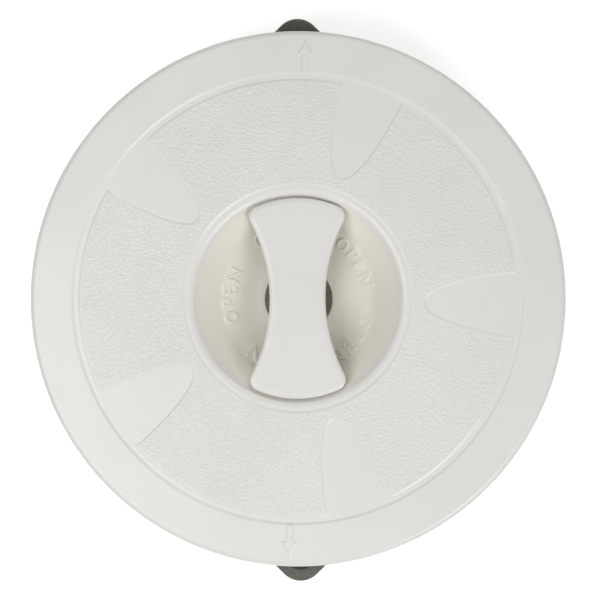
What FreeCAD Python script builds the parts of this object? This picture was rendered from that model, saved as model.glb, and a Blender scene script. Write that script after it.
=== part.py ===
import FreeCAD, Part
import math
import os
import re
import Sketcher

# A round deck hatch lid, 250 mm across, with a bow-tie handle in a dish and a cranked bar under it.
# The handle, the spindle and the bar turn together through a quarter turn.
# Z is up and out of the deck. Z = 0 is the plane where the seal sits, at the lid's centre.
# The arrows on the rim lie along Y. Lengths are in millimetres and angles in degrees.

SIZES = {
    # lid: rim and skirt
    "lid_radius": 125.0,
    "lid_edge_round": 2.7,
    "lid_wall": 3.0,
    "skirt_wall": 3.0,
    "skirt_gap": 1.0,
    "rim_height": 12.0,
    "rim_width": 20.4,
    "rim_step": 0.7,
    "rim_step_run": 1.0,
    # lid: raised tread with its leaf-shaped recesses
    "tread_rim_gap": 2.6,
    "tread_dish_gap": 3.7,
    "tread_raise": 0.5,
    "tread_edge_round": 0.3,
    "leaf_count": 5,
    "leaf_tip_gap": 6.1,
    "leaf_half_length": 90.0,
    "leaf_half_width": 17.75,
    # things that come in twos, half a turn apart
    "pair_count": 2,
    # lid: arrows on the rim
    "arrow_edge_gap": 4.5,
    "arrow_length": 15.0,
    "arrow_shaft": 3.5,
    "arrow_head": 7.4,
    "arrow_head_length": 7.0,
    "arrow_raise": 0.45,
    # lid: dish
    "dish_radius": 49.5,
    "dish_slope": 50.0,
    "dish_depth": 22.7,
    "dish_lip_round": 4.0,
    "dish_bowl_round": 24.0,
    # lid: underside
    "hub_radius": 16.5,
    "hub_length": 8.0,
    "gusset_count": 6,
    "gusset_reach": 28.0,
    "rib_count": 10,
    "rib_wall": 2.2,
    "rib_depth": 6.0,
    "rib_root": 0.75,
    "land_drop": 3.0,
    "stop_width": 5.5,
    "stop_overlap": 5.5,
    "stop_gap": 0.25,
    "stop_root": 0.6,
    # seal and the ring that holds it
    "seal_gap": 0.5,
    "seal_width": 8.5,
    "seal_round": 1.2,
    "flange_seal_gap": 1.5,
    "flange_lip": 7.5,
    "flange_width": 19.5,
    "flange_wall": 3.0,
    "spigot_wall": 3.0,
    # self-tapping screws of that ring
    "screw_count": 10,
    "screw_inset": 4.5,
    "screw_radius": 1.95,
    "screw_length": 8.0,
    "screw_head_radius": 3.6,
    "screw_head_height": 2.4,
    # spindle and what it runs in
    "shaft_radius": 9.0,
    "sleeve_wall": 2.4,
    "running_gap": 0.05,
    "washer_wall": 1.0,
    "washer_radius": 14.4,
    "lower_washer_radius": 12.0,
    "head_radius": 16.0,
    "head_height": 4.4,
    "drive_width": 12.6,
    "drive_length": 9.5,
    "key_length": 14.0,
    "key_width": 8.0,
    "key_height": 3.0,
    "groove_depth": 1.7,
    "groove_width": 2.04,
    "groove_first": 2.6,
    "groove_pitch": 5.0,
    # handle
    "handle_end_gap": 2.6,
    "handle_half_waist": 12.95,
    "handle_side_radius": 77.0,
    "handle_corner_round": 5.0,
    "handle_edge_round": 1.2,
    "handle_rise": 0.5,
    "handle_depth": 11.0,
    "handle_wall": 2.8,
    "handle_wall_gap": 1.7,
    "handle_rib": 2.2,
    "boss_half_width": 9.5,
    "boss_half_length": 15.1,
    # fasteners
    "handle_screw_spread": 12.0,
    "handle_screw_radius": 1.5,
    "handle_screw_head": 2.6,
    "handle_screw_length": 10.0,
    "handle_insert_radius": 2.3,
    "handle_insert_length": 6.0,
    "bolt_radius": 3.0,
    "bolt_length": 16.0,
    "bolt_across_flats": 10.0,
    "bolt_head_height": 4.0,
    "spindle_insert_radius": 4.3,
    "spindle_insert_length": 13.0,
    "flat_washer_radius": 10.5,
    "flat_washer_wall": 1.6,
    "spring_washer_radius": 5.5,
    "spring_washer_wall": 1.6,
    "spring_washer_split": 1.0,
    # bar and its pads
    "bar_length": 266.0,
    "bar_width": 30.0,
    "bar_tip_round": 11.0,
    "bar_corner_round": 6.0,
    "bar_wall": 10.0,
    "bar_tip_wall": 7.0,
    "bar_middle": 24.0,
    "bar_crank_end": 46.0,
    "bar_edge_round": 1.5,
    "bar_web": 3.5,
    "bar_side": 3.5,
    "bay_start": 56.0,
    "bay_length": 14.0,
    "bay_pitch": 17.0,
    "lip_gap": 8.0,
    "pad_proud": 1.5,
    "pad_radius": 8.0,
    "pad_inset": 13.5,
    "pad_stem_radius": 3.9,
    "pad_stem_length": 6.0,
    "pad_edge_round": 0.5,
    # small clearances, and the turn that the photograph shows
    "fit_gap": 0.03,
    "hole_gap": 0.3,
    "end_play": 0.05,
    "bar_clearance": 1.5,
    "rest_turn": 2.2,
}

# Heights and radii that several pieces share, as formulas of the sizes above.
CHANNEL = "(rim_height - rim_step)"
UNDERSIDE = f"({CHANNEL} - lid_wall)"
LAND = f"({UNDERSIDE} - land_drop)"
FLOOR = f"({CHANNEL} - dish_depth)"
FLOOR_UNDER = f"({FLOOR} - lid_wall)"
HUB_BOTTOM = f"({FLOOR_UNDER} - hub_length)"
RIM_INNER = "(lid_radius - rim_width)"
TREAD_OUTER = f"({RIM_INNER} - tread_rim_gap)"
TREAD_INNER = "(dish_radius + tread_dish_gap)"
SEAL_OUTER = "(lid_radius - skirt_wall - seal_gap)"
SEAL_INNER = f"({SEAL_OUTER} - seal_width)"
FLANGE_OUTER = f"({SEAL_INNER} - flange_seal_gap)"
FLANGE_INNER = f"({FLANGE_OUTER} - flange_width)"
SPIGOT_RADIUS = f"({FLANGE_OUTER} - flange_lip)"
SCREW_CIRCLE = f"({FLANGE_INNER} + screw_inset)"
SLEEVE_BORE = "(shaft_radius + running_gap)"
SLEEVE_RADIUS = f"({SLEEVE_BORE} + sleeve_wall)"
HEAD_UNDER = f"({FLOOR} + end_play + washer_wall)"
HEAD_TOP = f"({HEAD_UNDER} + head_height)"
BAR_TOP = f"({HUB_BOTTOM} - end_play - washer_wall)"
BAR_UNDER = f"({BAR_TOP} - bar_wall)"
BAR_END_TOP = "(- lip_gap - pad_proud)"
BAR_HALF_WIDTH = "(bar_width / 2)"
PAD_CENTRE = "(bar_length / 2 - pad_inset)"
GROOVES = [f"({FLOOR} - groove_first)", f"({FLOOR} - groove_first - groove_pitch)"]
HANDLE_TOP = "(rim_height + handle_rise)"
HANDLE_UNDER = f"({HANDLE_TOP} - handle_depth)"
HANDLE_HALF_LENGTH = "(dish_radius - handle_end_gap)"


def dish_wall_radius(height):
    """The radius of the dish's sloping wall at a height."""
    return f"(dish_radius - ({CHANNEL} - {height}) / tan(dish_slope * 1 deg))"


def dish_outside_radius(height):
    """The same for the wall's underside."""
    return f"({dish_wall_radius(height)} + lid_wall / sin(dish_slope * 1 deg))"


doc = FreeCAD.newDocument("deck_hatch")
sheet = doc.addObject("Spreadsheet::Sheet", "Sizes")
for row, (size_name, size_value) in enumerate(SIZES.items(), start=1):
    sheet.set(f"A{row}", size_name)
    sheet.set(f"B{row}", str(size_value))
    sheet.setAlias(f"B{row}", size_name)
doc.recompute()

nodes = []


# Helpers that bind geometry to the sheet

def name_in_sheet(match):
    word = match.group()
    return f"Sizes.{word}" if word in SIZES else word


def bind(thing, place, formula):
    """Bind one property of an object to a formula of the sizes."""
    thing.setExpression(place, re.sub(r"[a-z_]+", name_in_sheet, formula))


def new_body(name, is_node=True):
    body = doc.addObject("PartDesign::Body", name)
    body.Label = name
    if is_node:
        nodes.append(body)
    return body


def origin_part(body, role):
    return next(part for part in body.Origin.OriginFeatures if part.Role == role)


def about_z():
    """A placement turned about Z, whose angle can then be bound."""
    return FreeCAD.Placement(FreeCAD.Vector(), FreeCAD.Rotation(FreeCAD.Vector(0, 0, 1), 1))


def new_sketch(body, name, plane, height=None, shift=None, turn=None):
    """A sketch on one of the body's own planes: lifted off it, shifted along its first axis, or turned."""
    sketch = body.newObject("Sketcher::SketchObject", name)
    sketch.AttachmentSupport = [(origin_part(body, plane), "")]
    sketch.MapMode = "FlatFace"
    if height:
        bind(sketch, "AttachmentOffset.Base.z", height)
    if shift:
        bind(sketch, "AttachmentOffset.Base.x", shift)
    if turn:
        sketch.AttachmentOffset = about_z()
        bind(sketch, "AttachmentOffset.Rotation.Angle", turn)
    return sketch


def hold(sketch, kind, formula, *where):
    """Add one driving dimension to a sketch."""
    label = f"{kind.lower()}_{len(sketch.Constraints)}"
    index = sketch.addConstraint(Sketcher.Constraint(kind, *where, 1.0))
    sketch.renameConstraint(index, label)
    bind(sketch, f"Constraints.{label}", formula)


def hold_point(sketch, line, end, across, up):
    """Place a point of the sketch by two formulas; a zero puts it on the sketch's axis."""
    if across == "0":
        sketch.addConstraint(Sketcher.Constraint("PointOnObject", line, end, -2))
    else:
        hold(sketch, "DistanceX", across, -1, 1, line, end)
    if up == "0":
        sketch.addConstraint(Sketcher.Constraint("PointOnObject", line, end, -1))
    else:
        hold(sketch, "DistanceY", up, -1, 1, line, end)


# A corner is first rounded this little in the sketch, and then its radius is bound.
SKETCH_ROUND = 0.2


def outline(sketch, corners, rounds=None):
    """A closed outline through corners; rounds gives a radius for a corner's number."""
    count = len(corners)
    first = sketch.GeometryCount
    angles = [math.tau * i / count for i in range(count)]
    ring = [FreeCAD.Vector(math.cos(angle), math.sin(angle), 0) for angle in angles]
    for i in range(count):
        sketch.addGeometry(Part.LineSegment(ring[i], ring[(i + 1) % count]))
    for i in range(count):
        sketch.addConstraint(Sketcher.Constraint("Coincident", first + i, 2, first + (i + 1) % count, 1))
    for i, (across, up) in enumerate(corners):
        hold_point(sketch, first + i, 1, across, up)
    doc.recompute()
    for number, radius in (rounds or {}).items():
        arc = sketch.GeometryCount
        sketch.fillet(first + number, 1, SKETCH_ROUND, True, True)
        hold(sketch, "Radius", radius, arc)


def circle(sketch, radius, across="0", up="0"):
    index = sketch.addGeometry(Part.Circle())
    hold_point(sketch, index, 3, across, up)
    hold(sketch, "Radius", radius, index)


def rectangle(sketch, left, right, low, high):
    outline(sketch, [(left, low), (right, low), (right, high), (left, high)])


def feature(body, kind, name, sketch):
    made = body.newObject(f"PartDesign::{kind}", name)
    made.Profile = sketch
    return made


def revolve(body, name, sketch, kind="Revolution"):
    made = feature(body, kind, name, sketch)
    made.ReferenceAxis = (sketch, ["V_Axis"])
    return made


def pad(body, name, sketch, length, down=False, both=False):
    made = feature(body, "Pad", name, sketch)
    made.Reversed = down
    if both:
        made.SideType = "Symmetric"
    bind(made, "Length", length)
    return made


def pocket(body, name, sketch, length=None, up=False, both=False):
    """A cut down from the sketch, or up; without a length it goes right through."""
    made = feature(body, "Pocket", name, sketch)
    made.Reversed = up
    if both:
        made.SideType = "Symmetric"
    if length:
        bind(made, "Length", length)
    else:
        made.Type = "ThroughAll"
    return made


def around(body, name, originals, count):
    """Repeat features round the Z axis."""
    made = body.newObject("PartDesign::PolarPattern", name)
    made.Originals = originals
    made.Axis = (origin_part(body, "Z_Axis"), [""])
    made.Angle = 360
    bind(made, "Occurrences", count)
    body.Tip = made
    return made


def soften(body, name, base, radius, wanted):
    """Round the edges of a feature that the test picks out."""
    doc.recompute()
    edges = [f"Edge{i}" for i, edge in enumerate(base.Shape.Edges, start=1) if wanted(edge, base.Shape)]
    made = body.newObject("PartDesign::Fillet", name)
    made.Base = (base, edges)
    bind(made, "Radius", radius)
    return made


NEARLY = 0.001


def is_upright(edge, shape):
    return edge.BoundBox.XLength < NEARLY and edge.BoundBox.YLength < NEARLY


def is_on_top(edge, shape):
    return edge.BoundBox.ZMin > max(vertex.Z for vertex in shape.Vertexes) - NEARLY


def plain_ring(name, outer, inner, low, wall):
    """A flat ring or a sleeve: outer and bore radius, height of its lower face, and its length upwards."""
    body = new_body(name)
    sketch = new_sketch(body, f"{name}_outline", "XY_Plane", height=low)
    circle(sketch, outer)
    circle(sketch, inner)
    pad(body, f"{name}_pad", sketch, wall)
    return body


def turn_with_bar(thing):
    """Pieces that turn with the bar stand a little off the arrows, as photographed."""
    thing.Placement = about_z()
    bind(thing, "Placement.Rotation.Angle", "rest_turn")


# Lid cover

def make_lid_cover():
    body = new_body("lid_cover")

    tread = new_sketch(body, "tread_outline", "XY_Plane", height=CHANNEL)
    circle(tread, TREAD_OUTER)
    circle(tread, TREAD_INNER)
    pad(body, "tread", tread, "tread_raise")
    leaf = new_sketch(body, "leaf_outline", "XY_Plane", height=f"{CHANNEL} + tread_raise")
    start = FreeCAD.Vector(SIZES["lid_radius"], 0, 0)
    ellipse = leaf.addGeometry(Part.Ellipse(start, SIZES["leaf_half_length"], SIZES["leaf_half_width"]))
    leaf.exposeInternalGeometry(ellipse)
    long_axis = ellipse + 1
    short_axis = ellipse + 2
    hold_point(leaf, ellipse, 3, f"{TREAD_INNER} + leaf_tip_gap + leaf_half_length", "0")
    leaf.addConstraint(Sketcher.Constraint("Horizontal", long_axis))
    hold(leaf, "Distance", "leaf_half_length * 2", long_axis)
    hold(leaf, "Distance", "leaf_half_width * 2", short_axis)
    leaf_cut = pocket(body, "leaf", leaf, "tread_raise")
    leaves = around(body, "leaves", [leaf_cut], "leaf_count")
    soften(body, "tread_rounding", leaves, "tread_edge_round", is_on_top)

    section = new_sketch(body, "lid_section", "XZ_Plane")
    outline(section, [
        ("lid_radius", "skirt_gap"),
        ("lid_radius", "rim_height"),
        (f"{RIM_INNER} + rim_step_run", "rim_height"),
        (RIM_INNER, CHANNEL),
        ("dish_radius", CHANNEL),
        (dish_wall_radius(FLOOR), FLOOR),
        (f"{SLEEVE_RADIUS} + fit_gap", FLOOR),
        (f"{SLEEVE_RADIUS} + fit_gap", HUB_BOTTOM),
        ("hub_radius", HUB_BOTTOM),
        ("hub_radius", FLOOR_UNDER),
        (dish_outside_radius(FLOOR_UNDER), FLOOR_UNDER),
        (dish_outside_radius(UNDERSIDE), UNDERSIDE),
        (FLANGE_INNER, UNDERSIDE),
        (FLANGE_INNER, LAND),
        (SPIGOT_RADIUS, LAND),
        (SPIGOT_RADIUS, UNDERSIDE),
        ("lid_radius - skirt_wall", UNDERSIDE),
        ("lid_radius - skirt_wall", "skirt_gap"),
    ], {1: "lid_edge_round", 2: "rim_step", 4: "dish_lip_round", 5: "dish_bowl_round",
        10: "dish_bowl_round + lid_wall", 11: "lid_wall / 2"})
    revolve(body, "lid_shell", section)

    arrow = new_sketch(body, "arrow_outline", "XY_Plane", height="rim_height")
    tip = "(lid_radius - arrow_edge_gap)"
    neck = f"{tip} - arrow_head_length"
    tail = f"{tip} - arrow_length"
    outline(arrow, [
        ("0", tip), ("- arrow_head / 2", neck), ("- arrow_shaft / 2", neck),
        ("- arrow_shaft / 2", tail), ("arrow_shaft / 2", tail), ("arrow_shaft / 2", neck),
        ("arrow_head / 2", neck),
    ])
    around(body, "arrows", [pad(body, "arrow", arrow, "arrow_raise")], "pair_count")

    rib = new_sketch(body, "rib_outline", "XZ_Plane")
    rib_low = f"({UNDERSIDE} - rib_depth)"
    rib_end = f"{FLANGE_INNER} - hole_gap"
    outline(rib, [
        (f"{dish_outside_radius(rib_low)} - lid_wall / 2", rib_low),
        (rib_end, rib_low), (rib_end, LAND),
        (f"{FLANGE_INNER} + lid_wall / 2", LAND),
        (f"{FLANGE_INNER} + lid_wall / 2", f"{UNDERSIDE} + lid_wall / 2"),
        (f"{dish_outside_radius(UNDERSIDE)} - lid_wall / 2", f"{UNDERSIDE} + rib_root"),
    ])
    around(body, "ribs", [pad(body, "rib", rib, "rib_wall", both=True)], "rib_count")

    gusset = new_sketch(body, "gusset_outline", "XZ_Plane")
    inside_hub = "hub_radius - rib_wall / 2"
    outline(gusset, [
        (inside_hub, f"{HUB_BOTTOM} + rib_wall / 2"),
        ("gusset_reach", f"{FLOOR} - lid_wall / 2"),
        (inside_hub, f"{FLOOR} - lid_wall / 2"),
    ])
    around(body, "gussets", [pad(body, "gusset", gusset, "rib_wall", both=True)], "gusset_count")

    stop = new_sketch(body, "stop_outline", "XY_Plane", height=f"{BAR_TOP} - stop_overlap")
    stop_near = f"({BAR_HALF_WIDTH} + stop_gap)"
    stop_far = f"({BAR_HALF_WIDTH} + stop_gap + stop_width)"
    rectangle(stop, stop_near, stop_far, stop_near, stop_far)
    stop_pad = pad(body, "stop", stop, f"{FLOOR} - stop_root - {BAR_TOP} + stop_overlap")
    around(body, "stops", [stop_pad], "pair_count")

    hole = new_sketch(body, "pilot_outline", "XY_Plane", height=LAND, turn="180 / screw_count")
    circle(hole, "screw_radius + fit_gap", across=SCREW_CIRCLE)
    pilot = pocket(body, "pilot", hole, "screw_length - flange_wall + hole_gap", up=True)
    around(body, "pilots", [pilot], "screw_count")


# Seal, its ring and the ring's screws

def make_seal_and_ring():
    seal = new_body("rim_seal")
    section = new_sketch(seal, "seal_section", "XZ_Plane")
    lip_inner = f"({SPIGOT_RADIUS} + hole_gap)"
    outline(section, [
        (SEAL_INNER, "0"), (SEAL_OUTER, "0"), (SEAL_OUTER, UNDERSIDE), (lip_inner, UNDERSIDE),
        (lip_inner, LAND), (SEAL_INNER, LAND),
    ], {0: "seal_round", 1: "seal_round"})
    revolve(seal, "seal_ring", section)

    ring = new_body("seal_retainer")
    section = new_sketch(ring, "retainer_section", "XZ_Plane")
    flange_low = f"({LAND} - flange_wall)"
    spigot_low = f"({BAR_END_TOP} + bar_clearance)"
    outline(section, [
        (FLANGE_INNER, LAND), (FLANGE_INNER, flange_low),
        (f"{SPIGOT_RADIUS} - spigot_wall", flange_low), (f"{SPIGOT_RADIUS} - spigot_wall", spigot_low),
        (SPIGOT_RADIUS, spigot_low), (SPIGOT_RADIUS, flange_low),
        (FLANGE_OUTER, flange_low), (FLANGE_OUTER, LAND),
    ])
    revolve(ring, "retainer_ring", section)
    hole = new_sketch(ring, "retainer_hole", "XY_Plane", height=LAND, turn="180 / screw_count")
    circle(hole, "screw_radius + hole_gap", across=SCREW_CIRCLE)
    around(ring, "retainer_holes", [pocket(ring, "hole", hole, "flange_wall")], "screw_count")

    screws = new_body("retainer_screws")
    screws.AllowCompound = True
    head_height = "screw_head_height"
    section = new_sketch(screws, "screw_section", "XZ_Plane", shift=SCREW_CIRCLE)
    outline(section, [
        ("0", f"{flange_low} - {head_height}"), ("screw_head_radius", f"{flange_low} - {head_height}"),
        ("screw_head_radius", flange_low), ("screw_radius", flange_low),
        ("screw_radius", f"{flange_low} + screw_length - screw_radius / 2"),
        ("screw_radius / 2", f"{flange_low} + screw_length"), ("0", f"{flange_low} + screw_length"),
    ], {1: "screw_head_height / 2"})
    around(screws, "screws", [revolve(screws, "screw", section)], "screw_count")
    screws.Placement = about_z()
    bind(screws, "Placement.Rotation.Angle", "180 / screw_count")


# Spindle, its sleeve, washers and O-rings

def make_spindle():
    body = new_body("spindle")
    section = new_sketch(body, "spindle_section", "XZ_Plane")
    outline(section, [
        ("0", HEAD_TOP), ("head_radius", HEAD_TOP), ("head_radius", HEAD_UNDER),
        ("shaft_radius", HEAD_UNDER), ("shaft_radius", BAR_TOP), ("0", BAR_TOP),
    ], {1: "handle_edge_round / 2"})
    revolve(body, "spindle_turned", section)

    drive = new_sketch(body, "drive_outline", "XY_Plane", height=BAR_TOP)
    half_drive = "drive_width / 2"
    rectangle(drive, f"- {half_drive}", half_drive, f"- {half_drive}", half_drive)
    pad(body, "drive_square", drive, "drive_length", down=True)

    key = new_sketch(body, "key_outline", "XY_Plane", height=HEAD_TOP)
    rectangle(key, "- key_width / 2", "key_width / 2", "- key_length / 2", "key_length / 2")
    pad(body, "key", key, "key_height")

    bore = new_sketch(body, "insert_bore", "XY_Plane", height=f"{BAR_TOP} - drive_length")
    circle(bore, "spindle_insert_radius + fit_gap")
    pocket(body, "insert_pocket", bore, "spindle_insert_length", up=True)

    holes = new_sketch(body, "handle_screw_holes", "XY_Plane", height=HEAD_TOP)
    sinks = new_sketch(body, "handle_screw_sinks", "XY_Plane", height=HEAD_UNDER)
    for side in ("", "- "):
        circle(holes, "handle_screw_radius + hole_gap", up=f"{side}handle_screw_spread")
        circle(sinks, "handle_screw_head + fit_gap", up=f"{side}handle_screw_spread")
    pocket(body, "screw_holes", holes, "head_height")
    pocket(body, "screw_sinks", sinks, "handle_screw_head - handle_screw_radius + hole_gap", up=True)

    for number, height in enumerate(GROOVES):
        groove = new_sketch(body, f"groove_{number}", "XZ_Plane")
        rectangle(groove, "shaft_radius - groove_depth", "shaft_radius + groove_depth",
                  f"{height} - groove_width / 2", f"{height} + groove_width / 2")
        revolve(body, f"groove_cut_{number}", groove, kind="Groove")
    turn_with_bar(body)


def make_spindle_fittings():
    plain_ring("hub_sleeve", SLEEVE_RADIUS, SLEEVE_BORE, HUB_BOTTOM, f"{FLOOR} - {HUB_BOTTOM}")
    upper = plain_ring("thrust_washer_upper", "washer_radius", "shaft_radius + hole_gap",
                       f"{FLOOR} + end_play", "washer_wall")
    lower = plain_ring("thrust_washer_lower", "lower_washer_radius", "shaft_radius + hole_gap",
                       BAR_TOP, "washer_wall")
    insert = plain_ring("spindle_insert", "spindle_insert_radius", "bolt_radius + fit_gap",
                        f"{BAR_TOP} - drive_length", "spindle_insert_length")
    for body in (upper, lower, insert):
        turn_with_bar(body)

    for name, height in zip(("spindle_oring_upper", "spindle_oring_lower"), GROOVES):
        oring = doc.addObject("Part::Torus", name)
        oring.Label = name
        bind(oring, "Radius2", "groove_depth / 2")
        bind(oring, "Radius1", "shaft_radius - groove_depth / 2 + running_gap / 2")
        bind(oring, "Placement.Base.z", height)
        nodes.append(oring)


# Handle with its inserts and screws

def make_handle():
    body = new_body("handle_blank", is_node=False)
    disc = new_sketch(body, "handle_disc", "XY_Plane", height=HANDLE_UNDER)
    circle(disc, HANDLE_HALF_LENGTH)
    pad(body, "handle_pad", disc, "handle_depth")
    sides = new_sketch(body, "handle_sides", "XY_Plane", height=HANDLE_TOP)
    for side in ("", "- "):
        circle(sides, "handle_side_radius", across=f"{side}(handle_side_radius + handle_half_waist)")
    waist = pocket(body, "handle_waist", sides)
    corners = soften(body, "handle_corners", waist, "handle_corner_round", is_upright)
    soften(body, "handle_rounding", corners, "handle_edge_round", is_on_top)

    relief = new_sketch(body, "handle_relief", "XZ_Plane")
    relief_foot = f"({dish_wall_radius(HANDLE_UNDER)} - handle_wall_gap)"
    relief_top = f"({CHANNEL} - (handle_end_gap - handle_wall_gap) * tan(dish_slope * 1 deg))"
    relief_side = f"({HANDLE_HALF_LENGTH} + handle_wall_gap)"
    outline(relief, [
        (relief_foot, HANDLE_UNDER),
        (relief_side, HANDLE_UNDER),
        (relief_side, f"{relief_top} + handle_wall_gap * tan(dish_slope * 1 deg)"),
    ])
    revolve(body, "handle_ends", relief, kind="Groove")

    boss = new_sketch(body, "boss_outline", "XY_Plane", height=HEAD_TOP)
    rectangle(boss, "- boss_half_width", "boss_half_width", "- boss_half_length", "boss_half_length")
    pad(body, "boss", boss, f"{HANDLE_TOP} - handle_wall / 2 - {HEAD_TOP}")
    key = new_sketch(body, "key_slot", "XY_Plane", height=HEAD_TOP)
    half_width = "(key_width / 2 + fit_gap)"
    half_length = "(key_length / 2 + fit_gap)"
    rectangle(key, f"- {half_width}", half_width, f"- {half_length}", half_length)
    pocket(body, "key_pocket", key, "key_height + hole_gap", up=True)
    holes = new_sketch(body, "insert_holes", "XY_Plane", height=HEAD_TOP)
    for side in ("", "- "):
        circle(holes, "handle_insert_radius + fit_gap", up=f"{side}handle_screw_spread")
    pocket(body, "insert_pockets", holes, "handle_insert_length + hole_gap", up=True)

    # The hollow under each wing leaves the outer walls, one rib along the middle and the boss.
    hollow = new_body("handle_hollow", is_node=False)
    disc = new_sketch(hollow, "hollow_disc", "XY_Plane", height=HANDLE_UNDER)
    circle(disc, f"{relief_foot} - handle_wall")
    pad(hollow, "hollow_pad", disc, "handle_depth - handle_wall")
    sides = new_sketch(hollow, "hollow_sides", "XY_Plane", height=HANDLE_TOP)
    for side in ("", "- "):
        circle(sides, "handle_side_radius + handle_wall",
               across=f"{side}(handle_side_radius + handle_half_waist)")
    pocket(hollow, "hollow_waist", sides)
    left = new_sketch(hollow, "hollow_middle", "XY_Plane", height=HANDLE_TOP)
    rectangle(left, "- handle_half_waist", "handle_half_waist", "- boss_half_length", "boss_half_length")
    pocket(hollow, "hollow_boss", left)
    rib = new_sketch(hollow, "hollow_rib", "XY_Plane", height=HANDLE_TOP)
    rectangle(rib, "- handle_rib / 2", "handle_rib / 2", f"- {HANDLE_HALF_LENGTH}", HANDLE_HALF_LENGTH)
    pocket(hollow, "hollow_split", rib)
    hollow.AllowCompound = True

    handle = doc.addObject("Part::Cut", "handle")
    handle.Label = "handle"
    handle.Base = body
    handle.Tool = hollow
    turn_with_bar(handle)
    nodes.append(handle)

    inserts = new_body("handle_inserts")
    inserts.AllowCompound = True
    sketch = new_sketch(inserts, "insert_rings", "XY_Plane", height=HEAD_TOP)
    for side in ("", "- "):
        circle(sketch, "handle_insert_radius", up=f"{side}handle_screw_spread")
        circle(sketch, "handle_screw_radius + fit_gap", up=f"{side}handle_screw_spread")
    pad(inserts, "insert_pad", sketch, "handle_insert_length")
    turn_with_bar(inserts)

    screws = new_body("handle_screws")
    screws.AllowCompound = True
    head_height = "(handle_screw_head - handle_screw_radius)"
    screw_tip = f"({HEAD_UNDER} + handle_screw_length)"
    section = new_sketch(screws, "handle_screw_section", "YZ_Plane", shift="handle_screw_spread")
    outline(section, [
        ("0", HEAD_UNDER), ("handle_screw_head", HEAD_UNDER),
        ("handle_screw_radius", f"{HEAD_UNDER} + {head_height}"), ("handle_screw_radius", screw_tip),
        ("0", screw_tip),
    ])
    around(screws, "handle_screw_pair", [revolve(screws, "handle_screw", section)], "pair_count")
    turn_with_bar(screws)


# Bar with its wear pads, bolt and washers

# The hollows under each of the bar's two arms
BAYS = 3


def make_bar():
    body = new_body("locking_bar")
    blank = new_sketch(body, "bar_outline", "XY_Plane", height=BAR_UNDER)
    # Each end is a right-angled point with a round tip; the round takes off this much of the point.
    peak = "(bar_length / 2 + bar_tip_round * (sqrt(2) - 1))"
    shoulder = f"({peak} - {BAR_HALF_WIDTH})"
    outline(blank, [
        ("0", peak), (f"- {BAR_HALF_WIDTH}", shoulder), (f"- {BAR_HALF_WIDTH}", f"- {shoulder}"),
        ("0", f"- {peak}"), (BAR_HALF_WIDTH, f"- {shoulder}"), (BAR_HALF_WIDTH, shoulder),
    ], {0: "bar_tip_round", 3: "bar_tip_round",
        1: "bar_corner_round", 2: "bar_corner_round", 4: "bar_corner_round", 5: "bar_corner_round"})
    pad(body, "bar_blank", blank, f"{BAR_END_TOP} - {BAR_UNDER}")

    above = new_sketch(body, "bar_above", "YZ_Plane")
    outline(above, [
        ("- bar_crank_end", BAR_END_TOP), ("- bar_middle", BAR_TOP), ("bar_middle", BAR_TOP),
        ("bar_crank_end", BAR_END_TOP), ("bar_crank_end", "lip_gap"), ("- bar_crank_end", "lip_gap"),
    ])
    pocket(body, "bar_cradle", above, "bar_width * 2", both=True)
    for side, sign in (("front", "- "), ("back", "")):
        below = new_sketch(body, f"bar_below_{side}", "YZ_Plane")
        outline(below, [
            (f"{sign}bar_middle", BAR_UNDER), (f"{sign}bar_crank_end", f"{BAR_END_TOP} - bar_wall"),
            (f"{sign}bar_length / 2", f"{BAR_END_TOP} - bar_tip_wall"),
            (f"{sign}bar_length", f"{BAR_END_TOP} - bar_tip_wall"),
            (f"{sign}bar_length", f"{BAR_UNDER} - bar_wall"), (f"{sign}bar_middle", f"{BAR_UNDER} - bar_wall"),
        ])
        cut = pocket(body, f"bar_rise_{side}", below, "bar_width * 2", both=True)
    soften(body, "bar_rounding", cut, "bar_edge_round", is_bar_rim)

    bays = new_sketch(body, "bay_outlines", "XY_Plane", height=f"{BAR_END_TOP} - bar_web")
    bay_side = "(bar_width / 2 - bar_side)"
    for number in range(BAYS):
        near = f"(bay_start + {number} * bay_pitch)"
        far = f"({near} + bay_length)"
        rectangle(bays, f"- {bay_side}", bay_side, near, far)
        rectangle(bays, f"- {bay_side}", bay_side, f"- {far}", f"- {near}")
    pocket(body, "bays", bays)
    socket = new_sketch(body, "bar_socket", "XY_Plane", height=BAR_TOP)
    half = "(drive_width / 2 + running_gap)"
    rectangle(socket, f"- {half}", half, f"- {half}", half)
    pocket(body, "socket", socket)
    stems = new_sketch(body, "stem_holes", "XY_Plane", height=BAR_END_TOP)
    for side in ("", "- "):
        circle(stems, "pad_stem_radius + running_gap", up=f"{side}{PAD_CENTRE}")
    pocket(body, "stem_pockets", stems)
    turn_with_bar(body)

    for side, sign in (("front", "- "), ("back", "")):
        wear_pad = new_body(f"bar_pad_{side}")
        top = new_sketch(wear_pad, f"pad_top_{side}", "XY_Plane", height=BAR_END_TOP)
        circle(top, "pad_radius", up=f"{sign}{PAD_CENTRE}")
        disc = pad(wear_pad, f"pad_disc_{side}", top, "pad_proud")
        soften(wear_pad, f"pad_rounding_{side}", disc, "pad_edge_round", is_on_top)
        stem = new_sketch(wear_pad, f"pad_stem_{side}", "XY_Plane", height=BAR_END_TOP)
        circle(stem, "pad_stem_radius", up=f"{sign}{PAD_CENTRE}")
        pad(wear_pad, f"pad_stem_pad_{side}", stem, "pad_stem_length", down=True)
        turn_with_bar(wear_pad)


def is_bar_rim(edge, shape):
    """The edges round the bar's outline, above and below, but not the upright ones or its bends."""
    box = edge.BoundBox
    across = box.XLength > SIZES["bar_width"] - NEARLY and box.YLength < NEARLY
    return not across and (box.XLength > NEARLY or box.YLength > NEARLY)


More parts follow.
